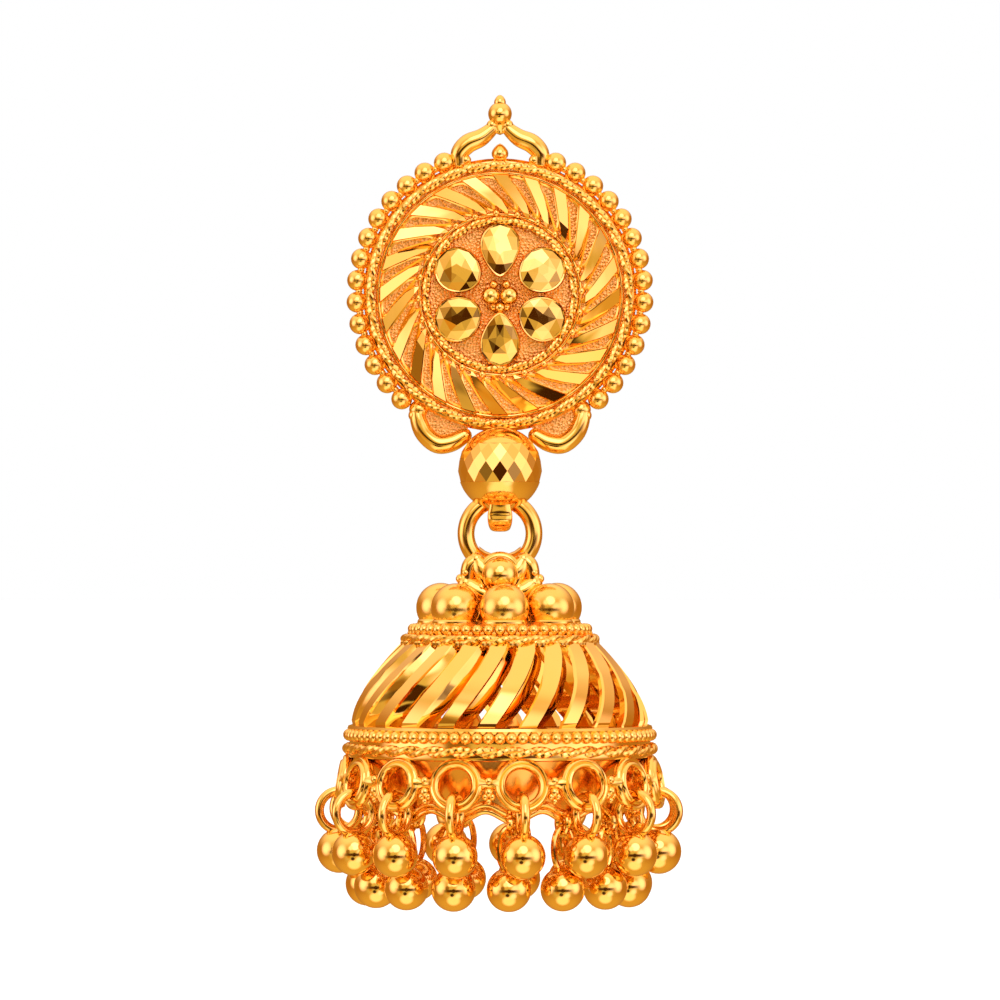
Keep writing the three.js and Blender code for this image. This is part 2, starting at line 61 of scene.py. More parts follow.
# Stud
DISC_R = 7.6
GROUND_T = 0.9
RECESS_T = 0.75
ROPE_OUT_R = 7.18
ROPE_OUT_WIRE = 0.5
ROPE_IN_R = 4.13
ROPE_IN_WIRE = 0.44
ROPE_OUT_PITCH = 2.7
ROPE_IN_PITCH = 2.3
ROPE_LIFT = 0.3  # centre of a twisted ring over its plate
BORDER_BEAD_R = 0.585
BORDER_BEADS = 14
BORDER_FROM = 22.9
BORDER_STEP = 8.75
BORDER_OUT = 0.37  # middle of the beads outside the rim of the disc
BLADES = 24
BLADE_SWEEP = 20
BLADE_BEND = 1.15  # how the sweep falls off towards the rim
BLADE_FROM = 0.42  # start of a blade outside the inner twisted ring
BLADE_OUT_W = 0.95
BLADE_IN_W = 0.6
BLADE_STAND = 0.6
PETALS = 6
PETAL_R = 2.6
PETAL_LEAN = 11  # degrees, outwards
PISTIL_R = 0.5
CREST_DEPTH = 0.575  # centre of the crest in front of the back
SCROLL_DEPTH = 0.6
POST_R = 0.5
PLATE_SIDES = 120

# Hanging parts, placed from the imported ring
ring_low, ring_high = node_box("hanging_ring")
AXIS_Y = (ring_low.y + ring_high.y) / 2
RING_WIRE = 0.94
RING_Z = (ring_low.z + ring_high.z) / 2
RING_R = (ring_high.z - ring_low.z - RING_WIRE) / 2
RING_LOW_Z = RING_Z - RING_R
BALL_R = 2.335
BALL_Z = RING_Z + RING_R + 1.7

# Crown and dome
CAP_Z = RING_LOW_Z - 2.6
CAP_BALLS = 7
CAP_BALL_R = 1.375
CAP_BALL_RING = 3.33
CAP_BALL_TURN = 4
CROWN_BALL_R = 1.0
CAP_BEADS = 48
CAP_ROPE_WIRE = 0.54
CAP_ROPE_PITCH = 2.8
DOME_TOP_R = 5.45
DOME_RIM_R = 8.22
BAND_OUT = 0.5  # in front of the ribs
DOME_H = 4.6
DOME_FULLNESS = 1.8
RIB_TOP_Z = CAP_Z - 1.6
BAND_Z = RIB_TOP_Z - DOME_H
BAND_H = 1.75
BAND_BEADS = 84
BAND_ROPE_WIRE = 0.62
BAND_ROPE_PITCH = 3.0
RIBS = 22
RIB_W = 1.08
RIB_T = 1.0
RIB_SLANT = 0.75  # of the inner side of a rib to its right
RIB_TWIST = 22.5
LOOPS = 15
LOOP_TURN = 8
LOOP_R = 1.215
LOOP_RING = 8.72
LOOP_FLARE = 10
LOOP_Z = BAND_Z - BAND_H - 1.3
OVAL_TURN = 6
OVAL_RING = 7.78
OVAL_HALF_H = 1.7
OVAL_LEAN = 14
OVAL_DIP = 0.6

# Drops
DROP_BALL_R = 1.25
DROP_RING_R = 1.1
DROP_WIRE = 0.52
INNER_TURN = 3.8
INNER_BALL_R = 1.225

# Stage, in metres
SHELL_R = 1.8
# Base colour of the painted reflections in the surround
PAINTED_REFLECTION_BASE = (0.5, 0.22, 0.035)
# Colour of the painted dark line in the surround, a painted reflection of a table edge
PAINTED_EDGE_LINE = (0.07, 0.022, 0.002)
PAINTED_LINE_DROP = 0.12  # of the painted dark line, a painted reflection of a table edge, under the level of the earring, at distance 1
FLOOR_HALF = 3.0
FLOOR_Z = -0.052
SOFTBOX_AWAY = 1.2
SOFTBOX_RADIANCE = 1.2


# Shapes


class Form:
    """Faces of one piece, each with the name of its finish."""

    def __init__(self):
        self.points = []
        self.faces = []
        self.finishes = []

    def face(self, corners, finish):
        self.faces.append(corners)
        self.finishes.append(finish)

    def skin(self, rows, finish, loop=True, wrap=False, caps=True):
        """Surface through rows of points; a row of one point is a pole."""
        first = []
        for row in rows:
            first.append(len(self.points))
            self.points.extend(row)
        pairs = list(zip(range(len(rows) - 1), range(1, len(rows))))
        if wrap:
            pairs.append((len(rows) - 1, 0))
        for low, high in pairs:
            a, b = first[low], first[high]
            n, m = len(rows[low]), len(rows[high])
            count = max(n, m)
            for i in range(count if loop else count - 1):
                j = (i + 1) % count
                if n == 1:
                    self.face((a, b + j, b + i), finish)
                elif m == 1:
                    self.face((a + i, a + j, b), finish)
                else:
                    self.face((a + i, a + j, b + j, b + i), finish)
        if caps and not wrap and loop:
            for at, row in ((first[0], rows[0]), (first[-1], rows[-1])):
                if len(row) > 2:
                    self.face(tuple(range(at, at + len(row))), finish)


def angles(count, start=0.0):
    return [start + TAU * i / count for i in range(count)]


def disc(r, degrees, depth):
    """Point on the stud: clockwise from the top, depth in front of the flat back."""
    a = math.radians(degrees)
    return Vector((r * math.sin(a), -depth, r * math.cos(a)))


def dome(r, degrees, z):
    """Point round the dome's axis, from the front."""
    a = math.radians(degrees)
    return Vector((r * math.sin(a), AXIS_Y - r * math.cos(a), z))


def outwards(degrees, rise=0.0):
    """Direction away from the dome's axis, tilted up by rise degrees."""
    flat = dome(1, degrees, 0) - Vector((0, AXIS_Y, 0))
    return flat * math.cos(math.radians(rise)) + Vector((0, 0, math.sin(math.radians(rise))))


def facing(centre, direction):
    """Placement whose Z axis looks along direction."""
    return Matrix.Translation(centre) @ direction.to_track_quat("Z", "Y").to_matrix().to_4x4()


FRONT = facing(Vector(), Vector((0, -1, 0)))
UPRIGHT = Matrix.Translation((0, AXIS_Y, 0))


def turned(form, profile, place, sides, finish, closed=False):
    """Profile of (radius, height) turned about the Z axis of its placement."""
    rows = []
    for r, h in profile:
        around = angles(sides) if r else [0]
        rows.append([place @ Vector((r * math.sin(a), -r * math.cos(a), h)) for a in around])
    form.skin(rows, finish, wrap=closed)


def turned_parts(form, profile, place, sides):
    """Turned closed profile of ((radius, height), finish), each finish for the face that starts there."""
    at = len(form.faces)
    turned(form, [spot for spot, _ in profile], place, sides, profile[0][1])
    for _, finish in profile[:-1]:
        form.finishes[at : at + sides] = [finish] * sides
        at += sides


def ball(form, centre, radius, finish, sides):
    half = sides // 2
    profile = []
    for i in range(half + 1):
        a = math.pi * i / half
        profile.append((0 if i in (0, half) else radius * math.sin(a), radius * math.cos(a)))
    turned(form, profile, Matrix.Translation(centre), sides, finish)


def curve(points, steps, closed=False):
    """Smooth line through points, which may carry a fourth number."""
    n = len(points)
    made = []
    for i in range(n if closed else n - 1):
        p1, p2 = points[i], points[(i + 1) % n]
        p0 = points[i - 1] if closed or i else 2 * p1 - p2
        p3 = points[(i + 2) % n] if closed or i + 2 < n else 2 * p2 - p1
        for k in range(steps):
            t = k / steps
            second = t * t * (2 * p0 - 5 * p1 + 4 * p2 - p3)
            third = t**3 * (3 * p1 - p0 - 3 * p2 + p3)
            made.append(0.5 * (2 * p1 + t * (p2 - p0) + second + third))
    return made if closed else made + [points[-1].copy()]


def tube(form, path, radius, out, finish, sides, closed=False):
    """Wire along a path. out is a direction across it, or one for each point, and so is radius."""
    n = len(path)
    rows = []
    for i, p in enumerate(path):
        before = path[i - 1] if closed or i else p
        after = path[(i + 1) % n] if closed or i + 1 < n else p
        along = (after - before).normalized()
        across = out[i] if isinstance(out, list) else out
        across = (across - across.dot(along) * along).normalized()
        side = along.cross(across)
        r = radius[i] if isinstance(radius, list) else radius
        rows.append([p + r * (math.cos(a) * across + math.sin(a) * side) for a in angles(sides)])
    form.skin(rows, finish, wrap=closed)


def swept(form, route, sides, steps=6):
    """Polished wire along points whose fourth number is the radius, with round ends."""
    line = curve(route, steps)
    path = [p.to_3d() for p in line]
    radii = [p.w for p in line]
    tube(form, path, radii, Vector((0, 1, 0)), "polished", sides)
    for end in (0, -1):
        ball(form, path[end], radii[end], "polished", 16)


def ring(form, place, radius, wire, sides, wire_sides):
    """Polished wire ring about the Z axis of its placement."""
    path = [place @ Vector((radius * math.cos(a), radius * math.sin(a), 0)) for a in angles(sides)]
    tube(form, path, wire / 2, place.to_3x3() @ Vector((0, 0, 1)), "polished", wire_sides, closed=True)


def rope(form, place, radius, wire, pitch):
    """Two strands twisted into a ring; pitch is the length of one full turn."""
    samples, sides = 14, 8
    turns = round(TAU * radius / pitch)
    turn = place.to_3x3()
    up = turn @ Vector((0, 0, 1))
    for start in (0, math.pi):
        path = []
        outs = []
        for a in angles(turns * samples):
            away = turn @ Vector((math.sin(a), -math.cos(a), 0))
            out = math.cos(turns * a + start) * away + math.sin(turns * a + start) * up
            path.append(place @ Vector((radius * math.sin(a), -radius * math.cos(a), 0)) + wire / 4 * out)
            outs.append(out)
        tube(form, path, 0.3 * wire, outs, "wire", sides, closed=True)


# Finishes

PALE = (1.0, 0.69, 0.21)
DEEP = (1.0, 0.59, 0.12)


def tinted(shade, colour):
    return (*(s * c for s, c in zip(shade, colour)), 1)


def gold(name, roughness, spread, scale, height, stipple=0.0, shade=(1, 1, 1)):
    """Gold whose tone, roughness and surface vary with noise; scale is per metre and height in metres."""
    material = bpy.data.materials.new(name)
    material.use_nodes = True
    nodes, links = material.node_tree.nodes, material.node_tree.links
    shader = nodes["Principled BSDF"]
    shader.inputs["Metallic"].default_value = 1.0
    place = nodes.new("ShaderNodeTexCoord")
    tone = nodes.new("ShaderNodeTexNoise")
    tone.inputs["Scale"].default_value = 300
    tone.inputs["Detail"].default_value = 2
    mix = nodes.new("ShaderNodeMix")
    mix.data_type = "RGBA"
    mix.inputs["A"].default_value = tinted(shade, DEEP)
    mix.inputs["B"].default_value = tinted(shade, PALE)
    noise = nodes.new("ShaderNodeTexNoise")
    noise.inputs["Scale"].default_value = scale
    noise.inputs["Detail"].default_value = 3
    spreads = nodes.new("ShaderNodeMapRange")
    spreads.inputs["To Min"].default_value = roughness - spread
    spreads.inputs["To Max"].default_value = roughness + spread
    bump = nodes.new("ShaderNodeBump")
    bump.inputs["Strength"].default_value = 1.0
    bump.inputs["Distance"].default_value = height
    links.new(place.outputs["Object"], tone.inputs["Vector"])
    links.new(place.outputs["Object"], noise.inputs["Vector"])
    links.new(tone.outputs["Fac"], mix.inputs["Factor"])
    links.new(mix.outputs["Result"], shader.inputs["Base Color"])
    links.new(noise.outputs["Fac"], spreads.inputs["Value"])
    links.new(spreads.outputs["Result"], shader.inputs["Roughness"])
    links.new(bump.outputs["Normal"], shader.inputs["Normal"])
    if stipple:
        cells = nodes.new("ShaderNodeTexVoronoi")
        cells.inputs["Scale"].default_value = stipple
        cells.inputs["Randomness"].default_value = 0.9
        links.new(place.outputs["Object"], cells.inputs["Vector"])
        links.new(cells.outputs["Distance"], bump.inputs["Height"])
    else:
        links.new(noise.outputs["Fac"], bump.inputs["Height"])
    return material


FINISHES = {
    "polished": gold("polished_gold", 0.11, 0.03, 600, 8e-7),
    "soft": gold("soft_gold", 0.17, 0.03, 600, 8e-7),
    "cut": gold("cut_gold", 0.07, 0.02, 500, 1e-6),
    "wire": gold("wire_gold", 0.14, 0.04, 2500, 2e-6),
    "satin": gold("satin_gold", 0.3, 0.06, 6000, 6e-6, shade=(0.95, 0.9, 0.8)),
    # The skirt's gold is tinted deeper orange: painted shade of the wall behind the loops
    "skirt": gold("skirt_gold_painted_shade", 0.22, 0.04, 800, 1e-6, shade=(0.95, 0.76, 0.6)),
    "stipple": gold("stippled_gold", 0.38, 0.08, 5000, 7e-5, stipple=6000, shade=(0.9, 0.78, 0.9)),
}


def piece(name, form, body, slot, *nodes, sharp=35):
    """Makes the mesh of a form and hangs it on its body in place of the solids it stands for."""
    mesh = bpy.data.meshes.new(name)
    mesh.from_pydata([tuple(MM * c for c in p) for p in form.points], [], form.faces)
    used = sorted(set(form.finishes))
    for finish in used:
        mesh.materials.append(FINISHES[finish])
    mesh.polygons.foreach_set("material_index", [used.index(f) for f in form.finishes])
    faces = bmesh.new()
    faces.from_mesh(mesh)
    bmesh.ops.recalc_face_normals(faces, faces=faces.faces)
    faces.to_mesh(mesh)
    faces.free()
    mesh.polygons.foreach_set("use_smooth", [sharp > 0] * len(mesh.polygons))
    if sharp:
        mesh.set_sharp_from_angle(angle=math.radians(sharp))
    made = bpy.data.objects.new(name, mesh)
    bpy.context.scene.collection.objects.link(made)
    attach(made, body)
    if nodes:
        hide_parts(*nodes)


# Stud


def stud_plate():
    form = Form()
    edge = 0.12
    profile = [
        ((0, RECESS_T), "stipple"),
        ((ROPE_IN_R, RECESS_T), "satin"),
        ((ROPE_IN_R + 0.02, GROUND_T), "stipple"),
        ((DISC_R - 0.42, GROUND_T), "polished"),
        ((DISC_R - 0.16, GROUND_T - 0.04), "polished"),
        ((DISC_R, GROUND_T - 2 * edge), "polished"),
        ((DISC_R, edge), "satin"),
        ((DISC_R - edge, 0), "satin"),
        ((0, 0), "satin"),
    ]
    turned_parts(form, profile, FRONT, PLATE_SIDES)
    collar = 0.35
    fillet = [(POST_R + 2 * collar, 0.05), (POST_R + collar, -0.2), (POST_R, -collar), (POST_R, 0.05)]
    turned(form, fillet, FRONT, 32, "satin", closed=True)
    piece("stud_plate", form, "stud_body", "cut_gold", "stud")


def stud_ropes():
    form = Form()
    over = FRONT @ Matrix.Translation((0, 0, GROUND_T + ROPE_LIFT))
    rope(form, over, ROPE_OUT_R, ROPE_OUT_WIRE, ROPE_OUT_PITCH)
    over = FRONT @ Matrix.Translation((0, 0, RECESS_T + ROPE_LIFT))
    rope(form, over, ROPE_IN_R, ROPE_IN_WIRE, ROPE_IN_PITCH)
    # Plain half-round wires beside the twisted ones
    for r, width in ((ROPE_OUT_R - 0.4, 0.15), (ROPE_IN_R + 0.34, 0.14)):
        arch = []
        for a in angles(16)[:9]:
            arch.append((r + width * math.cos(a), GROUND_T - 0.05 + 1.2 * width * math.sin(a)))
        turned(form, arch + [(r, GROUND_T - 0.2)], FRONT, PLATE_SIDES, "polished", closed=True)
    piece("stud_ropes", form, "stud_body", "wire_gold")


def stud_border():
    form = Form()
    ring_r = DISC_R + BORDER_OUT
    depth = BORDER_BEAD_R + 0.02
    for side in (-1, 1):
        for i in range(BORDER_BEADS):
            turn = side * (BORDER_FROM + i * BORDER_STEP)
            ball(form, disc(ring_r, turn, depth), BORDER_BEAD_R, "soft", 24)
            if i + 1 < BORDER_BEADS:
                join = turn + side * BORDER_STEP / 2
                ball(form, disc(ring_r - 0.12, join, depth + 0.05), 0.2, "polished", 12)
        hidden = side * (BORDER_FROM + BORDER_BEADS * BORDER_STEP - 0.6)
        ball(form, disc(ring_r - 0.15, hidden, depth - 0.1), 0.95 * BORDER_BEAD_R, "soft", 24)
    piece("stud_border", form, "stud_body", "polished_gold")


def stud_blades():
    """Blades with one flat cut face each, that turns a little along it, in a narrow bevel."""
    inner = ROPE_IN_R + BLADE_FROM
    outer = ROPE_OUT_R - 0.52
    # Along a blade: share of the length, width against a straight taper, height of the low and the high edge
    cuts = [
        {"along": 0.0, "wide": 0.3, "low": 0.5, "high": 0.58},
        {"along": 0.1, "wide": 0.8, "low": 0.56, "high": 0.84},
        {"along": 0.34, "wide": 1.12, "low": 0.58, "high": 1.0},
        {"along": 0.7, "wide": 1.06, "low": 0.56, "high": 1.04},
        {"along": 1.0, "wide": 0.94, "low": 0.62, "high": 0.98},
    ]
    bevel = 0.07
    form = Form()
    for i in range(BLADES):
        rows = []
        lean = 0.1 * math.sin(2.4 * i)
        for cut in cuts:
            t = cut["along"]
            r = inner + t * (outer - inner)
            middle = i * 360 / BLADES + BLADE_SWEEP * (1 - t) ** BLADE_BEND
            half = (BLADE_IN_W + t * (BLADE_OUT_W - BLADE_IN_W)) * cut["wide"] / 2
            face = max(half - bevel, 0.6 * half)
            low, high = ((cut[k] + s * lean) * BLADE_STAND for k, s in (("low", -1), ("high", 1)))
            section = [(-half, -0.15), (half, -0.15), (half, low - 0.12)]
            section += [(face, low), (-face, high), (-half, high - 0.12)]
            rows.append([disc(r, middle + math.degrees(x / r), GROUND_T + h) for x, h in section])
        form.skin(rows, "cut")
    piece("stud_blades", form, "stud_body", "cut_gold", sharp=9)


def stud_panels():
    """Raised wire rim of each panel between two blades, and the grain at its narrow end."""
    form = Form()
    inner = ROPE_IN_R + 0.62
    outer = ROPE_OUT_R - 0.62
    lane = 360 / BLADES
    for i in range(BLADES):
        start = i * 360 / BLADES
        corners = []
        for t, share in ((0, 0.5), (0.25, 0.3), (0.6, 0.27), (1, 0.25), (1, 0.76), (0.6, 0.76), (0.25, 0.74)):
            r = inner + t * (outer - inner)
            whole = (r - ROPE_IN_R - BLADE_FROM) / (ROPE_OUT_R - ROPE_IN_R - 0.98)
            swept_by = BLADE_SWEEP * (1 - whole) ** BLADE_BEND
            corners.append(disc(r, start + swept_by + lane * share, GROUND_T + 0.05))
        path = curve(corners, 4, closed=True)
        tube(form, path, 0.11, Vector((0, 1, 0)), "polished", 6, closed=True)
        crook = start + BLADE_SWEEP + lane / 2
        ball(form, disc(ROPE_IN_R + BLADE_FROM, crook, GROUND_T + 0.16), 0.2, "polished", 10)
    piece("stud_panels", form, "stud_body", "wire_gold")


def petal(form, index):
    """Cut petal in a polished rim, leaning outwards; the upright ones come to a point towards the centre."""
    upright = index % (PETALS // 2) == 0
    half_w = 1.26 if upright else 1.34
    half_l = 1.54 if upright else 1.36
    taper = 0.5 if upright else 0.16
    place = PETAL_R - 0.12 if upright else PETAL_R + 0.08
    lean = math.tan(math.radians(PETAL_LEAN))
    turn = math.radians(index * 360 / PETALS)
    count = 12

    def outline(share, depth, corners, start=0.0, shift=0.0):
        row = []
        for a in angles(corners, start):
            narrow = 1 - taper * ((1 - math.cos(a)) / 2) ** 2
            across = share * half_w * math.sin(a) * narrow
            along = shift + share * half_l * math.cos(a)
            out = place + along
            fall = depth - lean * along if depth > RECESS_T + 0.5 else depth
            x = out * math.sin(turn) + across * math.cos(turn)
            z = out * math.cos(turn) - across * math.sin(turn)
            row.append(Vector((x, -fall, z)))
        return row

    base = RECESS_T
    rim = ((0.96, -0.1), (1.0, 0.3), (1.0, 0.66), (0.95, 0.8), (0.89, 0.78))
    form.skin([outline(share, base + lift, 36) for share, lift in rim], "polished", caps=False)
    girdle = outline(0.9, base + 0.8, count)
    middle = outline(0.6, base + 0.93, count // 2, TAU / count)
    table = outline(0.24, base + 0.97, count // 2, 0.0, 0.1)
    first = len(form.points)
    form.points.extend(girdle + middle + table)
    half = count // 2
    for i in range(half):
        m, after = first + count + i, first + count + (i + 1) % half
        low, right, next_low = (first + (2 * i + k) % count for k in (0, 1, 2))
        t, t_next = first + count + half + i, first + count + half + (i + 1) % half
        form.face((low, right, m), "cut")
        form.face((right, next_low, m), "cut")
        form.face((next_low, after, m), "cut")
        form.face((m, after, t_next), "cut")
        form.face((t, m, t_next), "cut")
    form.face(tuple(first + count + half + i for i in range(half)), "cut")


def stud_flower():
    petals = Form()
    for i in range(PETALS):
        petal(petals, i)
    piece("stud_petals", petals, "stud_body", "cut_gold", sharp=2)
    beads = Form()
    depth = RECESS_T + 0.72
    for x in (-1, 1):
        ball(beads, Vector((x * 1.02 * PISTIL_R, -depth, -0.06)), 1.02 * PISTIL_R, "polished", 36)
        for lift in (-1, 1):
            collar = Vector((x * 0.36, -RECESS_T - 0.35, lift * 0.62 - 0.06))
            ball(beads, collar, 0.26, "polished", 16)
    ball(beads, Vector((0, -depth + 0.12, -0.72)), 0.3, "polished", 24)
    piece("stud_pistils", beads, "stud_body", "polished_gold")


def stud_crest():
    form = Form()
    top = DISC_R
    # Points of an arm: across, height over the rim, radius
    arm = [
        {"x": 2.24, "z": -0.3, "r": 0.42},
        {"x": 2.24, "z": 0.3, "r": 0.5},
        {"x": 1.78, "z": 0.82, "r": 0.54},
        {"x": 1.12, "z": 1.12, "r": 0.5},
        {"x": 0.66, "z": 1.46, "r": 0.42},
        {"x": 0.3, "z": 1.78, "r": 0.34},
        {"x": 0.06, "z": 1.6, "r": 0.26},
    ]
    for side in (-1, 1):
        route = [Vector((side * p["x"], -CREST_DEPTH, top + p["z"], p["r"])) for p in arm]
        swept(form, route, 24)
        ball(form, Vector((side * 0.44, -CREST_DEPTH - 0.1, top + 1.86)), 0.3, "polished", 20)
        ball(form, Vector((side * 1.9, -CREST_DEPTH - 0.1, top - 0.1)), 0.3, "polished", 16)
    axis = Matrix.Translation((0, -CREST_DEPTH, top))
    neck = [(0, 1.3), (0.26, 1.4), (0.3, 1.62), (0.38, 1.72)]
    neck += [(0.42, 1.82), (0.36, 1.92), (0.3, 1.98), (0, 2.0)]
    turned(form, neck, axis, 32, "polished")
    ball(form, Vector((0, -CREST_DEPTH, top + 2.48)), 0.66, "polished", 36)
    tip = [(0.3, 2.98), (0.33, 3.08), (0.32, 3.2), (0.28, 3.3), (0.2, 3.42), (0.12, 3.5), (0, 3.54)]
    turned(form, tip, axis, 28, "polished")
    pear = [(0, -0.1), (0.3, -0.06), (0.45, 0.12), (0.47, 0.3)]
    pear += [(0.42, 0.46), (0.3, 0.62), (0.16, 0.76), (0, 0.84)]
    turned(form, pear, axis, 28, "polished")
    piece("stud_crest", form, "stud_body", "polished_gold", sharp=50)


def stud_scrolls():
    form = Form()
    # Points of a scroll: across, height from the centre of the disc, radius
    route = [
        {"x": 4.62, "z": -6.35, "r": 0.38},
        {"x": 4.52, "z": -7.0, "r": 0.48},
        {"x": 4.2, "z": -7.72, "r": 0.52},
        {"x": 3.5, "z": -8.28, "r": 0.54},
        {"x": 2.72, "z": -8.22, "r": 0.52},
        {"x": 2.0, "z": -7.84, "r": 0.44},
    ]
    for side in (-1, 1):
        points = [Vector((side * p["x"], -SCROLL_DEPTH, p["z"], p["r"])) for p in route]
        swept(form, points, 24)
        edge = [p.to_3d() for p in curve(points, 4)] + [Vector((side * 1.4, -SCROLL_DEPTH, -6.6))]
        form.skin([[Vector((p.x, -depth, p.z)) for p in edge] for depth in (0.1, 0.72)], "stipple")
        ball(form, Vector((side * 4.75, -SCROLL_DEPTH, -6.7)), 0.36, "polished", 18)
    piece("stud_scrolls", form, "stud_body", "polished_gold", sharp=50)


def stud_ball():
    """Ball with three rows of cut lozenges over its middle."""
    form = Form()
    columns = 18
    centre = Vector((0, AXIS_Y, BALL_Z))
    levels = [38, 24.5, 11, -3, -18]  # degrees above the middle

    def row(level, shift, count):
        r = BALL_R * math.cos(math.radians(level))
        z = BALL_R * math.sin(math.radians(level))
        around = angles(count, shift * TAU / columns)
        return [centre + Vector((r * math.sin(a), -r * math.cos(a), z)) for a in around]

    for i, level in enumerate(levels):
        form.points.extend(row(level, 0.5 * (i % 2), columns))

    def at(level, i):
        return level * columns + i % columns

    for i in range(columns):
        form.face((at(0, i), at(1, i), at(0, i + 1)), "cut")
        form.face((at(0, i), at(1, i - 1), at(2, i), at(1, i)), "cut")
        form.face((at(1, i), at(2, i), at(3, i), at(2, i + 1)), "cut")
        form.face((at(2, i), at(3, i - 1), at(4, i), at(3, i)), "cut")
        form.face((at(3, i), at(4, i), at(4, i + 1)), "cut")
    for end, step in ((0, 4), (4, -4)):
        level = levels[end]
        rows = [row(level, 0.0, 2 * columns)]
        while abs(level + step) < 88:
            level += step
            rows.append(row(level, 0.0, 2 * columns))
        form.skin(rows + [[centre + Vector((0, 0, math.copysign(BALL_R, step)))]], "polished", caps=False)
    piece("stud_ball_cut", form, "stud_body", "cut_gold", sharp=11)


def stud_eye():
    """Strap that carries the ring: down in front, under, and up behind, rounder at its foot."""
    form = Form()
    half = 1.0
    top = BALL_Z - 1.4
    sill = RING_Z + RING_R - RING_WIRE / 2 - 0.42
    # Points from the front to the foot: share of the half depth, height, half width
    down = [
        (1, top, 0.56),
        (1, sill + 0.5, 0.6),
        (1, sill + 0.1, 0.68),
        (0.8, sill - 0.3, 0.68),
        (0.4, sill - 0.52, 0.62),
    ]
    route = [Vector((0, AXIS_Y - share * half, z, wide)) for share, z, wide in down]
    route.append(Vector((0, AXIS_Y, sill - 0.56, 0.6)))
    route += [Vector((0, AXIS_Y + share * half, z, wide)) for share, z, wide in reversed(down)]
    path = curve(route, 5)
    rows = []
    for i, p in enumerate(path):
        along = (path[min(i + 1, len(path) - 1)] - path[max(i - 1, 0)]).to_3d().normalized()
        away = Vector((1, 0, 0)).cross(along)
        section = []
        for a in angles(24):
            wide = p.w * math.copysign(abs(math.cos(a)) ** 0.6, math.cos(a))
            deep = (0.2 if p.z > sill else 0.34) * math.copysign(abs(math.sin(a)) ** 0.8, math.sin(a))
            section.append(p.to_3d() + Vector((wide, 0, 0)) + deep * away)
        rows.append(section)
    form.skin(rows, "polished")
    piece("stud_eye", form, "stud_body", "polished_gold", sharp=60)


def ear_post():
    low, high = node_box("ear_post")
    form = Form()
    depth = high.y
    # Shares of the radius and distances from the tip, with the groove that a push back clicks into
    tip = ((1, 0.9), (0.8, 0.8), (0.8, 0.6), (1, 0.5), (0.92, 0.2), (0.6, 0.05), (0, 0.0))
    profile = [(0, -low.y), (POST_R, -low.y)] + [(share * POST_R, back - depth) for share, back in tip]
    turned(form, profile, FRONT, 32, "polished")
    piece("ear_post_pin", form, "stud_body", "polished_gold", "ear_post")


def hanging_ring():
    form = Form()
    ring(form, facing(Vector((0, AXIS_Y, RING_Z)), Vector((0, -1, 0))), RING_R, RING_WIRE, 96, 28)
    piece("hanging_ring_wire", form, "ring_body", "wire_gold", "hanging_ring")


# Dome


def dome_radius(share):
    return DOME_TOP_R + (DOME_RIM_R - DOME_TOP_R) * (1 - (1 - share) ** DOME_FULLNESS)


def crown():
    form = Form()
    half = 1.15
    hole = [(0.52, 0.0), (0.58, 0.35), (0.76, 0.8), (1.04, half)]
    shell = [(1.18, half), (0.92, 0.8), (0.74, 0.35), (0.68, 0.0)]
    profile = [(r, -x) for r, x in reversed(hole)] + hole[1:]
    profile += shell + [(r, -x) for r, x in reversed(shell)][1:]
    sideways = facing(Vector((0, AXIS_Y, RING_LOW_Z)), Vector((1, 0, 0)))
    turned(form, profile, sideways, 48, "polished", closed=True)
    neck = [(0, -0.56), (0.8, -0.6), (1.05, -1.2), (1.5, -1.9), (2.3, -2.6), (2.3, -3.0), (0, -3.0)]
    turned(form, neck, Matrix.Translation((0, AXIS_Y, RING_LOW_Z)), 40, "polished")
    z = CAP_Z + CAP_BALL_R + 0.85 * CROWN_BALL_R
    for face in (-1, 1):
        y = AXIS_Y + face * 1.1
        ball(form, Vector((0, AXIS_Y + face * 1.72, z)), CROWN_BALL_R, "polished", 48)
        ring(form, facing(Vector((0, AXIS_Y + face * 1.35, z)), Vector((0, 1, 0))), 1.02, 0.5, 40, 14)
        # Right half of the outline of the crown's plate: across, over the ring's lowest wire
        right = [(0.55, -0.35), (0.95, 0.1), (1.4, 0.66)]
        right += [(1.75, 0.3), (1.95, -0.1), (2.05, -0.8), (2.0, -1.5)]
        outline = [(-x, lift) for x, lift in reversed(right)] + right
        plate = []
        for depth, grow in ((0.56, 0.94), (0.62, 1.0), (1.05, 1.0), (1.15, 0.9)):
            at_y = AXIS_Y + face * depth
            drop = 0.4 * (1 - grow)
            plate.append([Vector((grow * x, at_y, RING_LOW_Z + lift - drop)) for x, lift in outline])
        form.skin(plate, "polished")
        for side in (-1, 1):
            # Pieces of the crown on one side: points across, over the ring's lowest wire, and radius
            limbs = [
                [(0.55, -0.75, 0.56), (0.9, -0.25, 0.6), (1.12, 0.15, 0.54), (1.3, 0.46, 0.4)],
                [
                    (1.35, 0.45, 0.36),
                    (1.66, 0.2, 0.4),
                    (1.78, -0.15, 0.4),
                    (1.82, -0.6, 0.38),
                    (1.82, -1.05, 0.4),
                ],
                [(0.9, -1.45, 0.62), (1.35, -1.25, 0.6), (1.7, -1.0, 0.54), (1.9, -0.86, 0.46)],
            ]
            for limb in limbs:
                route = [Vector((side * x, y, RING_LOW_Z + lift, r)) for x, lift, r in limb]
                swept(form, route, 16, steps=4)
            ball(form, Vector((side * 1.9, y - 0.2, RING_LOW_Z - 0.28)), 0.24, "polished", 14)
            ball(form, Vector((side * 2.2, y, RING_LOW_Z - 0.62)), 0.26, "polished", 14)
            ball(form, Vector((side * 1.02, y + face * 0.3, RING_LOW_Z - 1.1)), 0.3, "polished", 14)
    piece("dome_crown", form, "dome_body", "polished_gold", sharp=60)


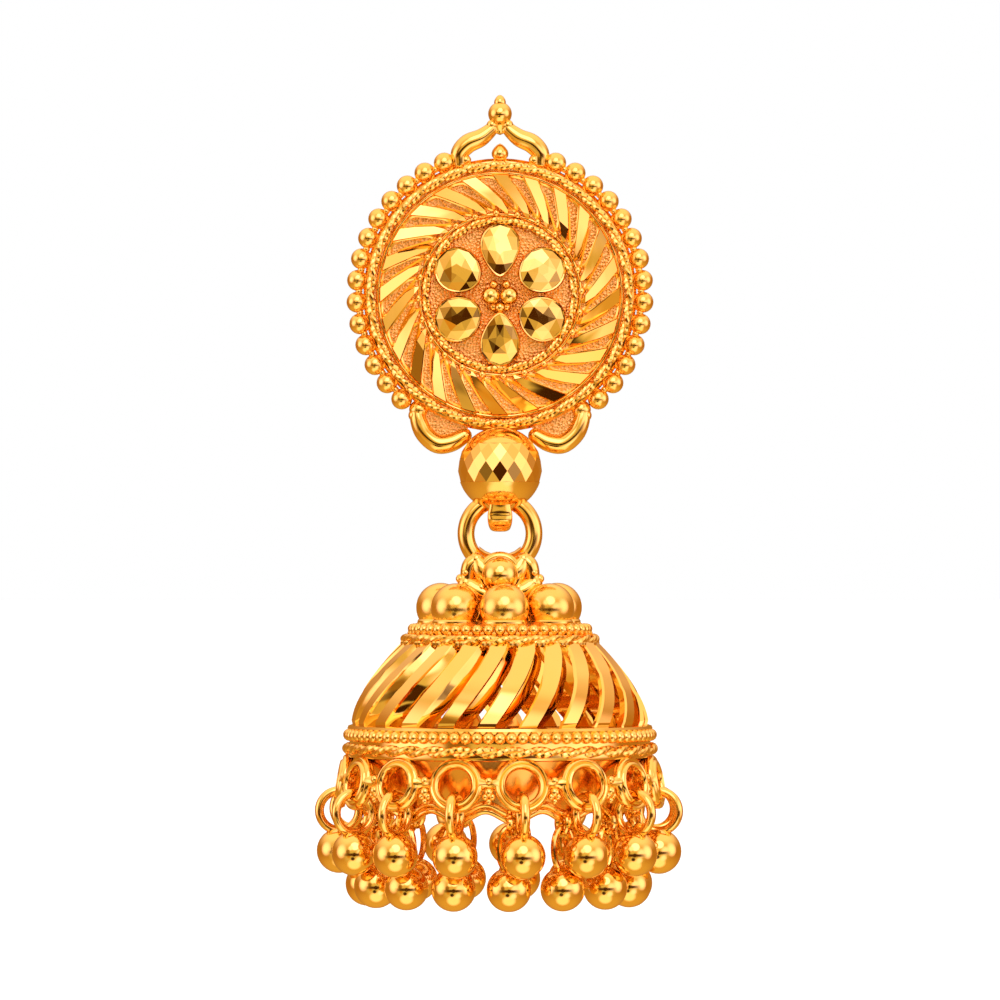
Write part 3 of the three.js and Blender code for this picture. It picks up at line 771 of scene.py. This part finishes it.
def cap_balls():
    form = Form()
    for i in range(CAP_BALLS):
        turn = CAP_BALL_TURN + i * 360 / CAP_BALLS
        centre = dome(CAP_BALL_RING, turn, CAP_Z + 0.27 * CAP_BALL_R)
        ball(form, centre, CAP_BALL_R, "soft", 56)
        ring(form, Matrix.Translation(centre - Vector((0, 0, 0.78))), 1.14, 0.34, 48, 10)
        for a in angles(11):
            foot = centre + Vector((1.22 * math.sin(a), -1.22 * math.cos(a), -0.96))
            ball(form, foot, 0.18, "polished", 8)
    piece("dome_cap_balls", form, "dome_body", "polished_gold")


def cap():
    form = Form()
    beaded = DOME_TOP_R - 0.55
    profile = [
        (0, CAP_Z - 0.05),
        (0.8 * beaded, CAP_Z - 0.4),
        (beaded - 0.1, CAP_Z - 0.62),
        (beaded - 0.1, CAP_Z - 1.0),
        (DOME_TOP_R - 0.3, CAP_Z - 1.12),
        (DOME_TOP_R - 0.3, CAP_Z - 1.6),
        (DOME_TOP_R - 0.9, CAP_Z - 1.6),
        (0.8 * beaded, CAP_Z - 1.0),
        (0, CAP_Z - 0.7),
    ]
    turned(form, profile, UPRIGHT, 96, "satin")
    for i in range(CAP_BEADS):
        ball(form, dome(beaded - 0.06, i * 360 / CAP_BEADS, CAP_Z - 0.8), 0.3, "wire", 14)
        ball(form, dome(beaded + 0.12, (i + 0.5) * 360 / CAP_BEADS, CAP_Z - 1.02), 0.14, "wire", 8)
    low = Matrix.Translation((0, AXIS_Y, CAP_Z - 1.36))
    rope(form, low, DOME_TOP_R - 0.2, CAP_ROPE_WIRE, CAP_ROPE_PITCH)
    piece("dome_cap", form, "dome_body", "wire_gold", "dome")


def ribs():
    """Pierced slanting ribs: a flat mirror strip between two bright bevels, with deep side walls."""
    form = Form()
    steps = 14
    bevel = 0.08
    half = RIB_W / 2
    for i in range(RIBS):
        rows = []
        sway = 0.05 * math.sin(1.7 * i)
        break_at = round(steps * (0.35 + 0.3 * math.sin(2.3 * i) ** 2))
        for step in range(steps + 1):
            share = step / steps
            tip = 0.08 if step in (0, steps) else 0
            left = tip + (0.07 if step < break_at else 0.0)
            right = tip + (0.0 if step < break_at else 0.07)
            turn = i * 360 / RIBS - RIB_TWIST * share
            z = RIB_TOP_Z - share * DOME_H + (0.3 if share == 0 else -0.2 if share == 1 else 0)
            r = dome_radius(share) - (0.2 if share == 0 else 0.06 if share == 1 else 0)
            side = Vector((math.cos(math.radians(turn)), math.sin(math.radians(turn)), 0))
            slant = RIB_SLANT * (1 - 0.5 * abs(2 * share - 1) ** 3)
            section = (
                (left + 0.14, -half),
                (left + sway, bevel - half),
                (right - sway, half - bevel),
                (right + 0.14, half),
                (0.6 * RIB_T, half + 0.6 * slant),
                (RIB_T, half + slant),
                (RIB_T, 0.3 * half + slant),
                (0.6 * RIB_T, -half + 0.5 * slant),
            )
            rows.append([dome(r - back, turn, z) + across * side for back, across in section])
        form.skin(rows, "cut")
    for i in range(RIBS):
        for shift in (0.42, 0.6):
            ball(form, dome(DOME_TOP_R - 0.1, (i + shift) * 360 / RIBS, RIB_TOP_Z + 0.02), 0.2, "wire", 10)
    piece("dome_ribs", form, "dome_body", "cut_gold", sharp=17)


def band():
    form = Form()
    outer = DOME_RIM_R + BAND_OUT
    wall = [
        (outer - 0.75, BAND_Z + 0.06),
        (outer - 0.5, BAND_Z + 0.1),
        (outer - 0.3, BAND_Z + 0.04),
        (outer - 0.24, BAND_Z - 0.1),
        (outer - 0.34, BAND_Z - 0.3),
        (outer - 0.36, BAND_Z - 0.9),
        (outer - 0.2, BAND_Z - 1.5),
        (outer - 0.26, BAND_Z - BAND_H + 0.06),
        (outer - 0.4, BAND_Z - BAND_H),
        (outer - 0.75, BAND_Z - BAND_H),
    ]
    turned(form, wall, UPRIGHT, PLATE_SIDES, "polished", closed=True)
    for i in range(BAND_BEADS):
        ball(form, dome(outer - 0.32, i * 360 / BAND_BEADS, BAND_Z - 0.48), 0.33, "wire", 14)
    low = Matrix.Translation((0, AXIS_Y, BAND_Z - 1.24))
    rope(form, low, outer - 0.28, BAND_ROPE_WIRE, BAND_ROPE_PITCH)
    piece("dome_band", form, "dome_body", "wire_gold")


def loops():
    form = Form()
    # Stepped section of a loop: radius, height
    step = [
        (0.915, -0.2),
        (0.915, 0.16),
        (0.95, 0.28),
        (1.04, 0.35),
        (1.14, 0.32),
        (1.2, 0.22),
        (1.23, 0.14),
        (1.28, 0.2),
        (1.38, 0.22),
        (1.48, 0.14),
        (1.52, -0.02),
        (1.49, -0.2),
        (1.38, -0.34),
        (1.02, -0.36),
        (0.94, -0.3),
    ]
    # Grains between two loops: down, across, radius
    grains = ((0.36, 0, 0.28), (0.6, -0.2, 0.2), (0.6, 0.2, 0.2), (0.86, 0, 0.18), (-0.26, 0, 0.24))
    for i in range(LOOPS):
        turn = LOOP_TURN + i * 360 / LOOPS
        place = facing(dome(LOOP_RING, turn, LOOP_Z), outwards(turn, LOOP_FLARE))
        turned(form, step, place, 48, "polished", closed=True)
        between = turn + 180 / LOOPS
        side = (dome(1, between + 90, 0) - dome(1, between - 90, 0)) / 2
        middle = LOOP_RING - 0.14
        bridge = [dome(middle, between, LOOP_Z + 0.1) + x * side for x in (-0.55, -0.2, 0.2, 0.55)]
        tube(form, bridge, [0.5, 0.3, 0.3, 0.5], outwards(between), "polished", 12)
        for down, across, size in grains:
            ball(form, dome(middle + 0.14, between, LOOP_Z - down) + across * side, size, "polished", 14)
    piece("dome_loops", form, "dome_body", "polished_gold", sharp=50)


def lower_skirt():
    """Smooth wall behind the loops, in deeper orange gold that is painted shade, whose scalloped foot is a
    stepped wire that carries the inner drops.
    """
    form = Form()
    low = OVAL_HALF_H * math.cos(math.radians(OVAL_LEAN))
    top_z = BAND_Z - BAND_H + 0.12
    foot_z = BAND_Z - BAND_H - 2 * low
    lean = math.tan(math.radians(OVAL_LEAN))
    foot_r = OVAL_RING - OVAL_HALF_H * math.sin(math.radians(OVAL_LEAN))
    steps = 16
    turns = [360 * i / (LOOPS * steps) for i in range(LOOPS * steps)]

    def edge(turn, lift=0.0, out=0.0):
        rise = 0.5 * OVAL_DIP * (1 - math.cos(math.radians(LOOPS * (turn - OVAL_TURN)))) + lift
        return dome(foot_r + lean * rise + out, turn, foot_z + rise)

    def wall(inset):
        high = [dome(foot_r + lean * (top_z - foot_z) - inset, turn, top_z) for turn in turns]
        end = [edge(turn, out=-inset) for turn in turns]
        return [high] + [[h.lerp(e, share) for h, e in zip(high, end)] for share in (0.3, 0.6, 1.0)]

    # The wall's deeper orange gold is painted shade
    form.skin(wall(0.04) + list(reversed(wall(0.2))), "skirt", wrap=True)
    out = [outwards(turn) for turn in turns]
    tube(form, [edge(turn) for turn in turns], 0.2, out, "polished", 12, closed=True)
    tube(form, [edge(turn, 0.34, 0.06) for turn in turns], 0.17, out, "polished", 10, closed=True)
    piece("dome_lower_skirt", form, "dome_body", "polished_gold", sharp=50)


# Drops


def cupped_ball(form, centre, radius):
    """Ball with a small cup in its top for the ring."""
    lip = 0.36
    start = math.asin(lip / radius)
    floor = radius * 0.6
    profile = [(0, floor), (lip - 0.05, floor), (lip - 0.03, radius * math.cos(start) - 0.03)]
    steps = 18
    for i in range(steps):
        a = start + (math.pi - start) * i / steps
        profile.append((radius * math.sin(a), radius * math.cos(a)))
    turned(form, profile + [(0, -radius)], Matrix.Translation(centre), 36, "polished")


def outer_drops():
    foot = LOOP_RING + LOOP_R * math.sin(math.radians(LOOP_FLARE))
    for i in range(LOOPS):
        node = "outer_drop_%02d" % (i + 1)
        low, high = node_box(node)
        turn = LOOP_TURN + i * 360 / LOOPS
        ring_z = high.z - DROP_RING_R - DROP_WIRE / 2
        side = outwards(turn + 90)
        form = Form()
        ring(form, facing(dome(foot, turn, ring_z), side), DROP_RING_R, DROP_WIRE, 40, 14)
        cupped_ball(form, dome(foot, turn, low.z + DROP_BALL_R), DROP_BALL_R)
        piece(node + "_gold", form, "dome_body", "polished_gold", node)


def inner_drops():
    foot = OVAL_RING - OVAL_HALF_H * math.sin(math.radians(OVAL_LEAN))
    small_r = 0.6
    small_wire = 0.36
    for i in range(LOOPS):
        node = "inner_drop_%02d" % (i + 1)
        low, high = node_box(node)
        turn = INNER_TURN + i * 360 / LOOPS
        side = outwards(turn + 90)
        small_z = high.z - small_r - 0.2
        ball_z = low.z + INNER_BALL_R
        link_top = small_z - small_r + 0.38
        link_low = ball_z + INNER_BALL_R - 0.2
        form = Form()
        ring(form, facing(dome(foot, turn, small_z), side), small_r, small_wire, 28, 10)
        middle = dome(foot, turn, (link_top + link_low) / 2)
        half_h = (link_top - link_low) / 2
        path = [middle + 0.55 * math.cos(a) * side + Vector((0, 0, half_h * math.sin(a))) for a in angles(36)]
        tube(form, path, 0.18, outwards(turn), "polished", 10, closed=True)
        cupped_ball(form, dome(foot, turn, ball_z), INNER_BALL_R)
        piece(node + "_gold", form, "dome_body", "polished_gold", node)


# Stage


def studio():
    camera = bpy.data.objects.new("camera", bpy.data.cameras.new("camera"))
    bpy.context.scene.collection.objects.link(camera)
    camera.data.sensor_width = SENSOR
    camera.data.lens = SENSOR * CAMERA_AWAY / (PHOTO_SIDE / PHOTO_SCALE)
    camera.data.clip_start = 0.01
    camera.data.clip_end = 20
    height = (PHOTO_DISC_Y - PHOTO_SIDE / 2) / PHOTO_SCALE
    camera.location = MM * Vector((0, AXIS_Y - CAMERA_AWAY, height))
    camera.rotation_euler = (math.pi / 2, 0, 0)
    bpy.context.scene.camera = camera
    bpy.context.scene.view_settings.view_transform = "Standard"

    world = bpy.data.worlds.new("studio_world")
    world.use_nodes = True
    world.node_tree.nodes["Background"].inputs["Color"].default_value = (1, 1, 1, 1)
    world.node_tree.nodes["Background"].inputs["Strength"].default_value = 1.0
    bpy.context.scene.world = world

    floor = bpy.data.meshes.new("floor")
    corners = [(x * FLOOR_HALF, y * FLOOR_HALF, FLOOR_Z) for x, y in ((-1, -1), (1, -1), (1, 1), (-1, 1))]
    floor.from_pydata(corners, [], [(0, 1, 2, 3)])
    paper = bpy.data.materials.new("paper")
    paper.use_nodes = True
    shader = paper.node_tree.nodes["Principled BSDF"]
    shader.inputs["Base Color"].default_value = (0.9, 0.9, 0.89, 1)
    shader.inputs["Roughness"].default_value = 0.8
    shader.inputs["Specular IOR Level"].default_value = 0.1
    shader.inputs["Emission Color"].default_value = (1, 1, 0.99, 1)
    shader.inputs["Emission Strength"].default_value = 0.2
    floor.materials.append(paper)
    made = bpy.data.objects.new("floor", floor)
    bpy.context.scene.collection.objects.link(made)
    made.visible_glossy = False


def direction(azimuth, elevation):
    """Unit vector from the earring; azimuth 0 is at the camera and grows to the right."""
    a, e = math.radians(azimuth), math.radians(elevation)
    return Vector((math.sin(a) * math.cos(e), -math.cos(a) * math.cos(e), math.sin(e)))


# Painted reflections: patches of the surround, the bright ones painted highlights of softboxes, the dark ones
# painted dark reflections, the darkest at the front standing for the camera,
# each laid over the ones before: azimuth and elevation, the angles between which the soft edge runs, in
# degrees, and the radiance
PAINTED_REFLECTION_PATCHES = [
    {"at": (0, 90), "inner": 28, "outer": 85, "glow": (1.4, 1.08, 0.85)},
    {"at": (0, -90), "inner": 15, "outer": 85, "glow": (0.8, 0.48, 0.12)},
    {"at": (0, 0), "inner": 30, "outer": 72, "glow": (0.82, 0.62, 0.24)},
    {"at": (-72, 8), "inner": 2, "outer": 34, "glow": (2.1, 1.5, 1.6)},
    {"at": (70, 8), "inner": 2, "outer": 34, "glow": (2.1, 1.5, 1.6)},
    {"at": (0, -60), "inner": 18, "outer": 34, "glow": (1.7, 1.25, 0.95)},
    {"at": (34, 4), "inner": 8, "outer": 26, "glow": (1.7, 1.32, 1.4)},
    {"at": (26, -32), "inner": 4, "outer": 19, "glow": (1.8, 1.36, 1.4)},
    {"at": (4, 37), "inner": 16, "outer": 24, "glow": (3.2, 2.0, 2.5)},
    {"at": (-19, 27), "inner": 8, "outer": 14, "glow": (2.0, 1.45, 1.5)},
    {"at": (-33, 7), "inner": 6, "outer": 13, "glow": (0.34, 0.17, 0.03)},
    {"at": (-29, -16), "inner": 5, "outer": 12, "glow": (0.75, 0.36, 0.05)},
    {"at": (-8, -28), "inner": 6, "outer": 12, "glow": (0.05, 0.016, 0.002)},
    {"at": (0, -7), "inner": 8, "outer": 12, "glow": (0.01, 0.003, 0.0)},
]


def painted_reflection_shell():
    """Surround that only reflections see, holding painted reflections: warm, with soft bright panels as
    painted highlights and a dark line as a painted reflection of a table edge.
    """
    mesh = bpy.data.meshes.new("painted_reflection_shell")
    shell = bmesh.new()
    bmesh.ops.create_uvsphere(shell, u_segments=64, v_segments=32, radius=SHELL_R)
    shell.to_mesh(mesh)
    shell.free()
    material = bpy.data.materials.new("painted_reflections")
    material.use_nodes = True
    nodes, links = material.node_tree.nodes, material.node_tree.links
    nodes.clear()
    place = nodes.new("ShaderNodeTexCoord")
    away = nodes.new("ShaderNodeVectorMath")
    away.operation = "NORMALIZE"
    links.new(place.outputs["Object"], away.inputs[0])

    def blend(factor, below, glow):
        mix = nodes.new("ShaderNodeMix")
        mix.data_type = "RGBA"
        mix.inputs["B"].default_value = (*glow, 1)
        links.new(factor, mix.inputs["Factor"])
        if isinstance(below, tuple):
            mix.inputs["A"].default_value = (*below, 1)
        else:
            links.new(below, mix.inputs["A"])
        return mix.outputs["Result"]

    def smooth(value, low, high):
        fade = nodes.new("ShaderNodeMapRange")
        fade.interpolation_type = "SMOOTHSTEP"
        fade.inputs["From Min"].default_value = low
        fade.inputs["From Max"].default_value = high
        links.new(value, fade.inputs["Value"])
        return fade.outputs["Result"]

    color = PAINTED_REFLECTION_BASE
    for patch in PAINTED_REFLECTION_PATCHES:
        dot = nodes.new("ShaderNodeVectorMath")
        dot.operation = "DOT_PRODUCT"
        dot.inputs[1].default_value = direction(*patch["at"])
        links.new(away.outputs["Vector"], dot.inputs[0])
        edge = [math.cos(math.radians(patch[k])) for k in ("outer", "inner")]
        color = blend(smooth(dot.outputs["Value"], *edge), color, patch["glow"])
    # Painted reflection of a dark table edge, thin and level
    apart = nodes.new("ShaderNodeSeparateXYZ")
    links.new(away.outputs["Vector"], apart.inputs["Vector"])
    line = nodes.new("ShaderNodeMath")
    line.operation = "ABSOLUTE"
    lift = nodes.new("ShaderNodeMath")
    lift.operation = "ADD"
    lift.inputs[1].default_value = PAINTED_LINE_DROP
    links.new(apart.outputs["Z"], lift.inputs[0])
    links.new(lift.outputs["Value"], line.inputs[0])
    front = smooth(apart.outputs["Y"], -0.35, -0.97)
    near = smooth(line.outputs["Value"], 0.17, 0.06)
    both = nodes.new("ShaderNodeMath")
    both.operation = "MULTIPLY"
    links.new(front, both.inputs[0])
    links.new(near, both.inputs[1])
    color = blend(both.outputs["Value"], color, PAINTED_EDGE_LINE)

    glow = nodes.new("ShaderNodeEmission")
    out = nodes.new("ShaderNodeOutputMaterial")
    links.new(color, glow.inputs["Color"])
    links.new(glow.outputs["Emission"], out.inputs["Surface"])
    mesh.materials.append(material)
    made = bpy.data.objects.new("painted_reflection_shell", mesh)
    bpy.context.scene.collection.objects.link(made)
    made.visible_camera = False
    made.visible_diffuse = False
    made.visible_shadow = False


def softbox(name, azimuth, elevation, width, height):
    """Area light that faces the earring and lights the paper."""
    light = bpy.data.lights.new(name, "AREA")
    light.shape = "RECTANGLE"
    light.size = width
    light.size_y = height
    light.energy = SOFTBOX_RADIANCE * math.pi * width * height
    made = bpy.data.objects.new(name, light)
    bpy.context.scene.collection.objects.link(made)
    # Hidden from reflections; the painted highlights of the surround stand in for its reflection
    made.visible_glossy = False
    toward = direction(azimuth, elevation)
    made.location = MM * Vector((0, AXIS_Y, RING_Z)) + SOFTBOX_AWAY * toward
    made.rotation_euler = toward.to_track_quat("Z", "Y").to_euler()


def lights():
    softbox("softbox_left", -42, 30, 0.6, 0.62)
    softbox("softbox_right", 42, 30, 0.6, 0.62)
    softbox("softbox_top", 0, 70, 0.9, 0.9)


studio()
painted_reflection_shell()
lights()
stud_plate()
stud_ropes()
stud_border()
stud_blades()
stud_panels()
stud_flower()
stud_crest()
stud_scrolls()
stud_ball()
stud_eye()
ear_post()
hanging_ring()
crown()
cap_balls()
cap()
ribs()
band()
loops()
lower_skirt()
outer_drops()
inner_drops()
